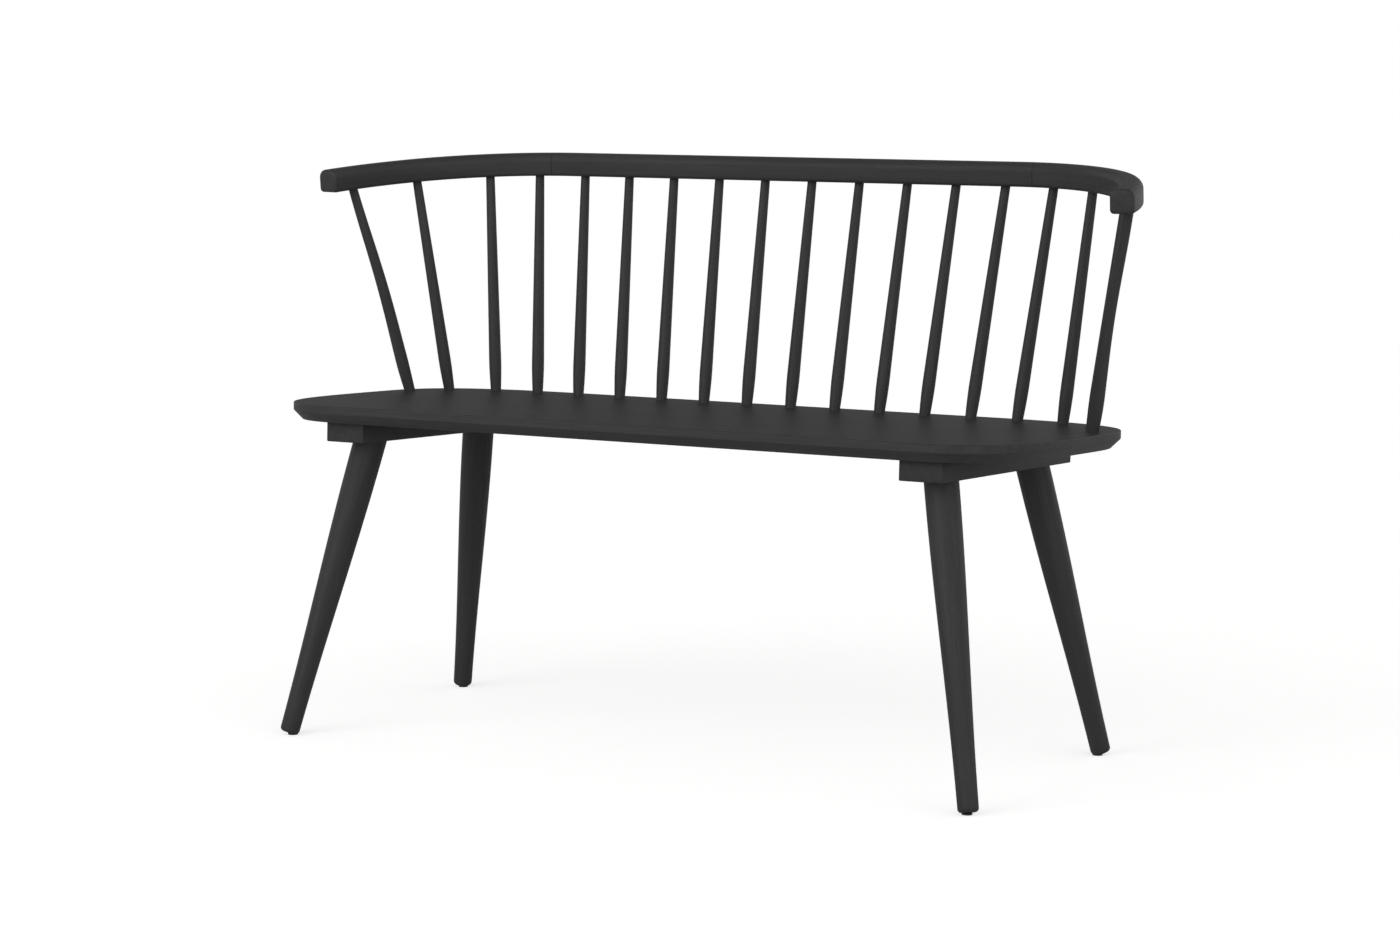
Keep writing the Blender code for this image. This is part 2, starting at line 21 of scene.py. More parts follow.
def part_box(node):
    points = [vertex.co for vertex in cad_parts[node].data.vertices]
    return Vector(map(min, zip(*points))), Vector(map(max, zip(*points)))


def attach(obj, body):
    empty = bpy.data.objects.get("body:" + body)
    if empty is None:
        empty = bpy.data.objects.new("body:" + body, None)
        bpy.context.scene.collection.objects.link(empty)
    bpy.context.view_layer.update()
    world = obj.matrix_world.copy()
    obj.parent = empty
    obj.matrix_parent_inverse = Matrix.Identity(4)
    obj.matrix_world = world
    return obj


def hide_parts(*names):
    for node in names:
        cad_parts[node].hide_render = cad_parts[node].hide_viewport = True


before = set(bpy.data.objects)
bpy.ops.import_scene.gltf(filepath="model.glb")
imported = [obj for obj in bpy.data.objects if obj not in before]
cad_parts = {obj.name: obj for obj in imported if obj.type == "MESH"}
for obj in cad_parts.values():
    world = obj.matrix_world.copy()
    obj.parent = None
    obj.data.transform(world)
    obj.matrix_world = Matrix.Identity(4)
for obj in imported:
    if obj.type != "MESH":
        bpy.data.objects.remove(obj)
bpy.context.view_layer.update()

log = logging.getLogger("dining_bench")

GAP = 0.0003  # left between pieces that touch
SAME_POINT = GAP / 100  # points closer than this are one
BODY = "root"

Profile = Sequence[tuple[float, float]]
Sockets = Mapping[str, bpy.types.NodeSocket]


class Side(Enum):
    """Left and right of someone who faces the bench, with the sign of X there."""

    LEFT = -1
    RIGHT = 1

    @property
    def word(self) -> str:
        """The side's name in piece and node names."""
        return self.name.lower()


class Row(Enum):
    """Front and rear pair of legs."""

    FRONT = "front"
    REAR = "rear"


class GrainRun(Enum):
    """Order of a piece's own axes that puts the one its grain runs along first."""

    ALONG_X = (0, 1, 2)
    ALONG_Y = (1, 2, 0)
    ALONG_Z = (2, 0, 1)


# Nodes and meshes


def linear(colour: str) -> tuple[float, float, float, float]:
    """Turn an sRGB hex colour into linear light.

    Args:
        colour: six hex digits after a hash.

    Returns:
        Red, green, blue and full opacity.
    """
    parts = []
    for start in (1, 3, 5):
        value = int(colour[start : start + 2], 16) / 255
        parts.append(value / 12.92 if value <= 0.04045 else ((value + 0.055) / 1.055) ** 2.4)
    return (*parts, 1.0)


def add_node(
    tree: bpy.types.NodeTree,
    kind: str,
    settings: dict[str, Any] | None = None,
    inputs: dict[int | str, Any] | None = None,
) -> bpy.types.Node:
    """Add a node with its settings and links.

    Args:
        tree: the tree that gets the node.
        kind: the node's type.
        settings: options by attribute name.
        inputs: by input name or index, values, sockets to link from, or nodes, which are
            linked from their first output.

    Returns:
        The new node.
    """
    node = tree.nodes.new(kind)
    for name, value in (settings or {}).items():
        setattr(node, name, value)
    for key, value in (inputs or {}).items():
        if isinstance(value, bpy.types.Node):
            value = value.outputs[0]
        if isinstance(value, bpy.types.NodeSocket):
            tree.links.new(value, node.inputs[key])
        else:
            node.inputs[key].default_value = value
    return node


def new_tree(name: str, sizes: dict[str, str]) -> tuple[bpy.types.NodeTree, Sockets]:
    """Start a Geometry Nodes tree with named inputs.

    Args:
        name: the tree's name.
        sizes: each input's label and its kind of socket, after the geometry.

    Returns:
        The tree and its inputs.
    """
    tree = bpy.data.node_groups.new(name, "GeometryNodeTree")
    tree.interface.new_socket("Geometry", in_out="INPUT", socket_type="NodeSocketGeometry")
    for label, kind in sizes.items():
        tree.interface.new_socket(label, in_out="INPUT", socket_type=f"NodeSocket{kind}")
    tree.interface.new_socket("Geometry", in_out="OUTPUT", socket_type="NodeSocketGeometry")
    return tree, add_node(tree, "NodeGroupInput").outputs


def end_tree(tree: bpy.types.NodeTree, shape: bpy.types.Node, material: bpy.types.NodeSocket) -> None:
    """Realise a tree's instances, give them their material and send them out.

    Args:
        tree: the tree to close.
        shape: the node that makes the finished geometry.
        material: the tree's input for it.
    """
    real = add_node(tree, "GeometryNodeRealizeInstances", inputs={"Geometry": shape})
    dressed = add_node(tree, "GeometryNodeSetMaterial", inputs={"Geometry": real, "Material": material})
    add_node(tree, "NodeGroupOutput", inputs={0: dressed})


def grow(base: bpy.types.Object, tree: bpy.types.NodeTree, sizes: dict[str, Any]) -> bpy.types.Mesh:
    """Run a Geometry Nodes tree once and keep its result as a plain mesh.

    Args:
        base: the object that carries the tree. It is removed.
        tree: the tree.
        sizes: a value for each named input.

    Returns:
        The mesh that the tree makes.
    """
    modifier = base.modifiers.new(tree.name, "NODES")
    modifier.node_group = tree
    for item in tree.interface.items_tree:
        if item.in_out == "INPUT" and item.name in sizes:
            modifier[item.identifier] = sizes[item.name]
    graph = bpy.context.evaluated_depsgraph_get()
    mesh = bpy.data.meshes.new_from_object(
        base.evaluated_get(graph), preserve_all_data_layers=True, depsgraph=graph
    )
    bpy.data.objects.remove(base, do_unlink=True)
    return mesh


def new_object(name: str, mesh: bpy.types.Mesh) -> bpy.types.Object:
    """Put a mesh in the scene.

    Args:
        name: the object's name, which its mesh takes too.
        mesh: the mesh.

    Returns:
        The new object, at the origin.
    """
    mesh.name = name
    obj = bpy.data.objects.new(name, mesh)
    bpy.context.scene.collection.objects.link(obj)
    return obj


def along(start: Vector, end: Vector) -> Matrix:
    """Placement with its origin at start and its +Z towards end.

    Args:
        start: where the piece's own origin goes.
        end: a point that its +Z goes through.

    Returns:
        The placement.
    """
    return Matrix.Translation(start) @ (end - start).to_track_quat("Z", "Y").to_matrix().to_4x4()


def eased(corners: Sequence[tuple[float, float, float]], steps: int = 4) -> list[tuple[float, float]]:
    """Round the corners of an open line, with a support point on each side of every arc.

    Args:
        corners: both coordinates and the radius of each corner, which is 0 at the ends.
        steps: faces in each arc.

    Returns:
        The points of the rounded line.
    """
    points = [Vector(corner[:2]) for corner in corners]
    line = [points[0]]
    for before, corner, after, (_, _, radius) in zip(points, points[1:], points[2:], corners[1:-1]):
        back, ahead = (before - corner).normalized(), (after - corner).normalized()
        half = back.angle(ahead) / 2
        reach = radius / math.tan(half)
        centre = corner + (back + ahead).normalized() * radius / math.sin(half)
        first, last = corner + back * reach - centre, corner + ahead * reach - centre
        turn = first.angle(last)
        support = radius / 4
        line.append(centre + first + back * support)
        for step in range(steps + 1):
            share = step / steps
            spoke = first * math.sin((1 - share) * turn) + last * math.sin(share * turn)
            line.append(centre + spoke / math.sin(turn))
        line.append(centre + last + ahead * support)
    return [tuple(point) for point in line + [points[-1]]]


def smooth(mesh: bpy.types.Mesh, sharp_angle: float) -> None:
    """Shade a mesh smooth, apart from real edges.

    Args:
        mesh: the mesh.
        sharp_angle: degrees past which an edge stays sharp.
    """
    mesh.shade_smooth()
    mesh.set_sharp_from_angle(angle=math.radians(sharp_angle))


def close_up(work: bmesh.types.BMesh, sharp_angle: float = 35.0) -> bpy.types.Mesh:
    """Turn the faces outwards and shade them smooth, apart from real edges.

    Args:
        work: the shape. It is freed.
        sharp_angle: degrees past which an edge stays sharp.

    Returns:
        The finished mesh.
    """
    bmesh.ops.recalc_face_normals(work, faces=work.faces)
    mesh = bpy.data.meshes.new("shape")
    work.to_mesh(mesh)
    work.free()
    smooth(mesh, sharp_angle)
    return mesh


def merged(mesh: bpy.types.Mesh, distance: float) -> bmesh.types.BMesh:
    """Copy a mesh with its seams closed.

    Args:
        mesh: the mesh, which stays as it is.
        distance: points closer than this become one.

    Returns:
        The copy.
    """
    work = bmesh.new()
    work.from_mesh(mesh)
    bmesh.ops.remove_doubles(work, verts=work.verts, dist=distance)
    return work


def ring_shape(rings: Sequence[Sequence[Vector]]) -> bmesh.types.BMesh:
    """Close a shape over rings of points. A ring of one point is a pole, others get an end face.

    Args:
        rings: rings of one size, apart from the poles, from one end to the other.

    Returns:
        The closed shape.
    """
    work = bmesh.new()
    made = [[work.verts.new(point) for point in ring] for ring in rings]
    sides = max(len(ring) for ring in made)
    for lower, upper in pairwise(made):
        for index in range(sides):
            after = (index + 1) % sides
            corners = [lower[index % len(lower)], lower[after % len(lower)]]
            corners += [upper[after % len(upper)], upper[index % len(upper)]]
            work.faces.new(dict.fromkeys(corners))
    for ring in (made[0], made[-1]):
        if len(ring) > 1:
            work.faces.new(ring)
    return work


def turned(profile: Profile, sides: int) -> bmesh.types.BMesh:
    """Turn a profile about +Z.

    Args:
        profile: radius and height from one pole to the other.
        sides: faces round the axis.

    Returns:
        The closed shape.
    """
    rings = []
    for radius, height in profile:
        count = sides if radius > GAP / 10 else 1
        turns = [math.tau * index / count for index in range(count)]
        rings.append([Vector((radius * math.cos(turn), radius * math.sin(turn), height)) for turn in turns])
    return ring_shape(rings)


def trim(work: bmesh.types.BMesh, point: Vector, outwards: Vector) -> None:
    """Cut a closed shape off at a plane and close the cut.

    Args:
        work: the shape.
        point: a point on the plane.
        outwards: the side that is cut away.
    """
    geometry = [*work.verts, *work.edges, *work.faces]
    cut = bmesh.ops.bisect_plane(
        work, geom=geometry, plane_co=point, plane_no=outwards, clear_outer=True, dist=SAME_POINT
    )
    rim = [item for item in cut["geom_cut"] if isinstance(item, bmesh.types.BMEdge)]
    bmesh.ops.contextual_create(work, geom=rim)


@dataclass
class Workshop:
    """Marks the run of the grain on each piece and hands finished pieces to the frame."""

    pieces: int = 0
    apart: Vector = field(default_factory=lambda: Vector((1.37, 0.213, 0.171)))  # from wood to wood

    def next_wood(self) -> Vector:
        """Shift to a stretch of wood that no other piece is cut from."""
        self.pieces += 1
        return self.apart * self.pieces

    def mark_grain(self, mesh: bpy.types.Mesh, run: GrainRun) -> None:
        """Store where each point of a piece lies in its wood, in metres, the grain first.

        Args:
            mesh: the piece in its own frame, before it is set in place.
            run: the axis that the grain runs along.
        """
        shift = self.next_wood()
        grain = mesh.attributes.new("grain", "FLOAT_VECTOR", "POINT")
        for vertex, item in zip(mesh.vertices, grain.data):
            item.vector = Vector([vertex.co[axis] for axis in run.value]) + shift

    def hand_over(self, obj: bpy.types.Object, slot: str, *nodes: str) -> None:
        """Let a piece stand for its CAD nodes and move with the bench.

        Args:
            obj: the piece.
            slot: not used.
            nodes: the CAD nodes that it replaces.
        """
        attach(obj, BODY)
        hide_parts(*nodes)
        log.info("%s: %d faces, for %s", obj.name, len(obj.data.polygons), ", ".join(nodes))


# Finishes


def new_material(name: str) -> tuple[bpy.types.Material, bpy.types.NodeTree, bpy.types.Node]:
    """Start a material.

    Args:
        name: the material's name.

    Returns:
        The material, its tree and its shader.
    """
    material = bpy.data.materials.new(name)
    material.use_nodes = True
    tree = material.node_tree
    return material, tree, tree.nodes["Principled BSDF"]


def emboss(
    shader: bpy.types.Node,
    pattern: bpy.types.Node,
    roughness: tuple[float, float],
    relief: tuple[float, float],
    sunk: bool = False,
) -> None:
    """Let a pattern roughen a surface and stand out from it.

    Args:
        shader: the surface's shader.
        pattern: a node that gives 0 to 1.
        roughness: roughness where the pattern is 0 and where it is 1.
        relief: the relief's depth and strength.
        sunk: the pattern goes into the surface instead.
    """
    tree = shader.id_data
    low, high = roughness
    depth, strength = relief
    gloss = add_node(
        tree, "ShaderNodeMapRange", inputs={"Value": pattern, "To Min": low, "To Max": high}
    )
    tree.links.new(gloss.outputs[0], shader.inputs["Roughness"])
    bump = add_node(
        tree,
        "ShaderNodeBump",
        {"invert": sunk},
        {"Strength": strength, "Distance": depth, "Height": pattern},
    )
    tree.links.new(bump.outputs[0], shader.inputs["Normal"])


@dataclass(frozen=True)
class Streaks:
    """Streaks of one size along the grain, drawn by a noise that is stretched along it."""

    length: float
    width: float
    start: float  # noise at which a streak starts
    full: float  # noise at which it is full
    detail: float = 3.0
    wander: float = 0.3

    def add(self, tree: bpy.types.NodeTree, grain: bpy.types.NodeSocket) -> bpy.types.Node:
        """Add the streaks to a material.

        Args:
            tree: the material's tree.
            grain: the place in the wood.

        Returns:
            A node that gives 1 in a streak and 0 beside it.
        """
        size = (1 / self.length, 1 / self.width, 1 / self.width)
        place = add_node(tree, "ShaderNodeMapping", inputs={"Vector": grain, "Scale": size})
        noise = add_node(
            tree,
            "ShaderNodeTexNoise",
            inputs={"Vector": place, "Scale": 1.0, "Detail": self.detail, "Distortion": self.wander},
        )
        return add_node(
            tree,
            "ShaderNodeMapRange",
            inputs={"Value": noise.outputs["Fac"], "From Min": self.start, "From Max": self.full},
        )


@dataclass(frozen=True)
class StainedWood:
    """Beech, planed or turned, stained black and sprayed with a satin lacquer.

    The stain evens the colour out to charcoal. What is left to see are faint bands of
    growth rings, fine darker fibres along the grain, and a soft sheen that they break up.
    """

    colour: str = "#393939"
    band_colour: str = "#333333"
    fibre_colour: str = "#2b2b2b"
    # Growth rings as a plain-sawn face shows them
    bands: Streaks = Streaks(length=0.260, width=0.011, start=0.35, full=0.65)
    # Real fibres are 0.3 mm wide, too fine to show
    fibres: Streaks = Streaks(length=0.045, width=0.0012, start=0.45, full=0.75)
    # Drawn twice as coarse as real pores
    pores: Streaks = Streaks(length=0.0070, width=0.0007, start=0.62, full=0.72)
    fibre_share: float = 0.55  # how dark a fibre is beside a pore
    roughness: float = 0.44
    streak_roughness: float = 0.12  # added in fibres and pores
    relief: float = 0.00012  # depth of the pores
    relief_strength: float = 0.35
    specular: float = 0.12  # the lacquer is thin and partly soaked in

    def material(self) -> bpy.types.Material:
        """Build the finish, which reads the piece's grain attribute.

        Returns:
            The material.
        """
        material, tree, shader = new_material("black_stained_beech")
        grain = add_node(tree, "ShaderNodeAttribute", {"attribute_name": "grain"}).outputs["Vector"]
        band, fibre, pore = (kind.add(tree, grain) for kind in (self.bands, self.fibres, self.pores))
        tone = add_node(
            tree,
            "ShaderNodeMix",
            {"data_type": "RGBA"},
            {0: band, 6: linear(self.colour), 7: linear(self.band_colour)},
        )
        lined = add_node(tree, "ShaderNodeMath", {"operation": "MULTIPLY"}, {0: fibre, 1: self.fibre_share})
        dark = add_node(tree, "ShaderNodeMath", {"operation": "MAXIMUM"}, {0: lined, 1: pore})
        colour = add_node(
            tree,
            "ShaderNodeMix",
            {"data_type": "RGBA"},
            {0: dark, 6: tone.outputs[2], 7: linear(self.fibre_colour)},
        )
        tree.links.new(colour.outputs[2], shader.inputs["Base Color"])
        roughness = (self.roughness, self.roughness + self.streak_roughness)
        emboss(shader, dark, roughness, (self.relief, self.relief_strength), sunk=True)
        shader.inputs["Specular IOR Level"].default_value = self.specular
        return material


@dataclass(frozen=True)
class PlainFinish:
    """A finish of one colour that a fine noise on Object coordinates mottles and roughens."""

    name: str
    colour: str
    mottle_colour: str
    mottle_size: float
    roughness: float
    roughness_spread: float
    relief: float
    relief_strength: float = 0.5
    detail: float = 4.0
    detail_share: float = 0.6  # how strong the finer levels of the noise are
    metallic: float = 0.0
    stretch: tuple[float, float, float] = (1.0, 1.0, 1.0)

    def material(self) -> bpy.types.Material:
        """Build the finish.

        Returns:
            The material.
        """
        material, tree, shader = new_material(self.name)
        place = add_node(tree, "ShaderNodeTexCoord").outputs["Object"]
        size = tuple(share / self.mottle_size for share in self.stretch)
        mapped = add_node(tree, "ShaderNodeMapping", inputs={"Vector": place, "Scale": size})
        noise = add_node(
            tree,
            "ShaderNodeTexNoise",
            inputs={
                "Vector": mapped,
                "Scale": 1.0,
                "Detail": self.detail,
                "Roughness": self.detail_share,
            },
        )
        colour = add_node(
            tree,
            "ShaderNodeMix",
            {"data_type": "RGBA"},
            {0: noise.outputs["Fac"], 6: linear(self.colour), 7: linear(self.mottle_colour)},
        )
        tree.links.new(colour.outputs[2], shader.inputs["Base Color"])
        roughness = (self.roughness - self.roughness_spread, self.roughness + self.roughness_spread)
        emboss(shader, noise, roughness, (self.relief, self.relief_strength))
        shader.inputs["Metallic"].default_value = self.metallic
        return material


# Beech dowel rod, cut across and glued in: pale, with grain along it
BEECH = PlainFinish(
    name="raw_beech",
    colour="#c9a67c",
    mottle_colour="#b48d62",
    mottle_size=0.0015,
    roughness=0.62,
    roughness_spread=0.06,
    relief=0.00005,
    stretch=(0.15, 1.0, 1.0),
)
# Steel with a bright zinc plate: small crystals mottle its grey and its gloss
ZINC = PlainFinish(
    name="zinc_plated_steel",
    colour="#c4c6c8",
    mottle_colour="#a9adb1",
    mottle_size=0.0012,
    roughness=0.34,
    roughness_spread=0.10,
    relief=0.00002,
    metallic=1.0,
)
# Black nylon 6, injection moulded, with a fine spark-eroded texture
NYLON = PlainFinish(
    name="moulded_black_nylon",
    colour="#232324",
    mottle_colour="#1c1c1d",
    mottle_size=0.0006,
    roughness=0.52,
    roughness_spread=0.05,
    relief=0.00003,
)


# Seat


@dataclass
class SeatBoard:
    """The thin seat board with rounded corners and an undercut edge, tilted back a little."""

    height: float = 0.4500  # front top edge above the floor
    tilt: float = math.radians(1.94)
    length: float = 1.0984
    depth: float = 0.4795
    front_straight: float = 0.7630
    back_straight: float = 0.5710
    widest: float = 0.2961  # how far back the board is widest
    front_power: float = 3.50  # squareness of the front corners, 2 being an ellipse
    back_power: float = 3.11
    edge: float = 0.0107  # upright part of the edge
    undercut: float = 0.0123
    arris: float = 0.0012
    lower_arris: float = 0.0010
    corner_steps: int = 40

    @property
    def thickness(self) -> float:
        """Thickness of the board."""
        return self.edge + self.undercut

    @property
    def front_y(self) -> float:
        """Where the front top edge is, from the CAD seat's foremost corner."""
        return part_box("seat")[0].y + self.edge * math.sin(self.tilt)

    @property
    def plane(self) -> Matrix:
        """The seat's own frame: y runs back from the front edge and z is 0 on its top."""
        place = Matrix.Translation((0, self.front_y, self.height))
        return place @ Matrix.Rotation(-self.tilt, 4, "X")

    def outline(self) -> list[Vector]:
        """Corners of the board, anticlockwise from the right end of the front's straight run.

        Returns:
            The points, in the seat's own frame.
        """
        half, front, back = self.length / 2, self.front_straight / 2, self.back_straight / 2
        right = []
        for step in range(self.corner_steps + 1):
            turn = math.pi / 2 * step / self.corner_steps
            across = math.sin(turn) ** (2 / self.front_power)
            forward = abs(math.cos(turn)) ** (2 / self.front_power)
            right.append(Vector((front + (half - front) * across, self.widest * (1 - forward), 0)))
        for step in range(1, self.corner_steps + 1):
            turn = math.pi / 2 * step / self.corner_steps
            across = abs(math.cos(turn)) ** (2 / self.back_power)
            backward = math.sin(turn) ** (2 / self.back_power)
            y = self.widest + (self.depth - self.widest) * backward
            right.append(Vector((back + (half - back) * across, y, 0)))
        return right + [Vector((-point.x, point.y, 0)) for point in reversed(right)]

    def build(self, shop: Workshop, wood: bpy.types.Material) -> None:
        """Make the seat board and hand it over.

        Args:
            shop: the workshop.
            wood: the stained wood.
        """
        outline = self.outline()
        inwards = []
        for index, point in enumerate(outline):
            tangent = outline[(index + 1) % len(outline)] - outline[index - 1]
            inwards.append(Vector((-tangent.y, tangent.x, 0)).normalized())
        flat = self.undercut * 2  # the top and bottom start this far in, as one face each
        section = eased(
            [
                (flat, 0.0, 0.0),
                (0.0, 0.0, self.arris),
                (0.0, -self.edge, self.lower_arris),
                (self.undercut, -self.thickness, self.lower_arris),
                (flat, -self.thickness, 0.0),
            ]
        )
        rings = []
        for inset, z in section:
            rings.append([p + n * inset + Vector((0, 0, z)) for p, n in zip(outline, inwards)])
        mesh = close_up(ring_shape(rings), sharp_angle=40.0)
        shop.mark_grain(mesh, GrainRun.ALONG_X)
        mesh.transform(self.plane)
        mesh.materials.append(wood)
        shop.hand_over(new_object("seat_board", mesh), "stained_wood", "seat")


@dataclass
class Battens:
    """The two cross battens under the seat, with the screws that hold them to it."""

    seat: SeatBoard
    spacing: float = 0.8444
    thickness: float = 0.0266
    front: float = 0.0333
    length: float = 0.4010
    screw_ends: float = 0.0180  # first and last screw from the batten's ends
    screws: int = 4
    screw_diameter: float = 0.0045
    screw_head: float = 0.0085
    screw_head_height: float = 0.0030
    screw_point: float = 0.0040
    screw_in_seat: float = 0.0120
    screw_sides: int = 24
    thread_pitch: float = 0.0018
    thread_depth: float = 0.0006
    recess_width: float = 0.0011
    recess_span: float = 0.0046
    recess_depth: float = 0.0019
    turn_seed: int = 5  # how far each screw happens to be turned

    @property
    def underside(self) -> float:
        """Height of the battens' underside in the seat's own frame."""
        return -self.seat.thickness - GAP - self.thickness

    def build(self, shop: Workshop, wood: bpy.types.Material, zinc: bpy.types.Material) -> None:
        """Dress both battens and drive their screws.

        Args:
            shop: the workshop.
            wood: the stained wood.
            zinc: the screws' finish.
        """
        screw = self.screw()
        tree = self.screw_tree()
        for side in Side:
            self.dress_batten(shop, side, wood)
            sizes = {"Screw": screw, "Finish": zinc, "Seed": self.turn_seed + side.value}
            mesh = grow(self.screw_points(side), tree, sizes)
            mesh.transform(self.seat.plane)
            nodes = [f"{side.word}_batten_screw_{number}" for number in range(1, self.screws + 1)]
            shop.hand_over(new_object(f"{side.word}_batten_screws", mesh), "zinc_steel", *nodes)
        bpy.data.objects.remove(screw, do_unlink=True)

    def dress_batten(self, shop: Workshop, side: Side, wood: bpy.types.Material) -> None:
        """Copy a CAD batten, which has its bores and countersinks, and give it its grain.

        Args:
            shop: the workshop.
            side: the batten's side.
            wood: the stained wood.
        """
        node = f"{side.word}_batten"
        work = merged(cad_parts[node].data, GAP / 10)
        work.transform(self.seat.plane.inverted())
        mesh = close_up(work, sharp_angle=50.0)
        shop.mark_grain(mesh, GrainRun.ALONG_Y)
        mesh.transform(self.seat.plane)
        mesh.materials.append(wood)
        shop.hand_over(new_object(f"{node}_dressed", mesh), "stained_wood", node)

    def screw(self) -> bpy.types.Object:
        """Make one countersunk wood screw with a cross recess, head down at the origin.

        Returns:
            The screw, which the node tree copies.
        """
        length = self.thickness + GAP + self.screw_in_seat
        head, shank = self.screw_head / 2, self.screw_diameter / 2
        core = shank - self.thread_depth
        profile = [(0.0, 0.0), (head - GAP / 2, 0.0), (head, GAP / 2), (core, self.screw_head_height)]
        height = self.screw_head_height + self.thread_pitch
        while height < length - self.screw_point:
            profile += [(core, height - self.thread_pitch / 2), (shank, height)]
            height += self.thread_pitch
        profile += [(core, length - self.screw_point), (0.0, length)]
        screw = new_object("screw_pattern", close_up(turned(profile, self.screw_sides)))
        cross = bmesh.new()
        for turn in (0.0, math.pi / 2):
            size = (self.recess_span, self.recess_width, self.recess_depth * 2)
            bmesh.ops.create_cube(
                cross, size=1.0, matrix=Matrix.Rotation(turn, 4, "Z") @ Matrix.Diagonal((*size, 1.0))
            )
        cutter = new_object("recess_pattern", close_up(cross))
        recess = screw.modifiers.new("recess", "BOOLEAN")
        recess.operation = "DIFFERENCE"
        recess.object = cutter
        recess.use_self = True
        graph = bpy.context.evaluated_depsgraph_get()
        cut = bpy.data.meshes.new_from_object(screw.evaluated_get(graph), depsgraph=graph)
        screw.modifiers.remove(recess)
        bpy.data.objects.remove(cutter, do_unlink=True)
        screw.data = cut
        return screw

    def screw_points(self, side: Side) -> bpy.types.Object:
        """Mark where the screws of one batten start, in the seat's own frame.

        Args:
            side: the batten's side.

        Returns:
            An object with one vertex for each screw.
        """
        run = self.length - 2 * self.screw_ends
        points = []
        for index in range(self.screws):
            y = self.front + self.screw_ends + run * index / (self.screws - 1)
            points.append((side.value * self.spacing / 2, y, self.underside))
        mesh = bpy.data.meshes.new("screw_points")
        mesh.from_pydata(points, [], [])
        return new_object("screw_points", mesh)

    def screw_tree(self) -> bpy.types.NodeTree:
        """Build the tree that sets a screw on every point, each turned by its own amount.

        Returns:
            The tree.
        """
        tree, size = new_tree("batten_screws", {"Screw": "Object", "Finish": "Material", "Seed": "Int"})
        pattern = add_node(tree, "GeometryNodeObjectInfo", inputs={"Object": size["Screw"]})
        turn = add_node(
            tree,
            "FunctionNodeRandomValue",
            {"data_type": "FLOAT"},
            {2: 0.0, 3: math.tau, "Seed": size["Seed"]},
        )
        rotation = add_node(tree, "ShaderNodeCombineXYZ", inputs={"Z": turn.outputs[1]})
        copies = add_node(
            tree,
            "GeometryNodeInstanceOnPoints",
            inputs={
                "Points": size["Geometry"],
                "Instance": pattern.outputs["Geometry"],
                "Rotation": rotation,
            },
        )
        end_tree(tree, copies, size["Finish"])
        return tree


# Bow


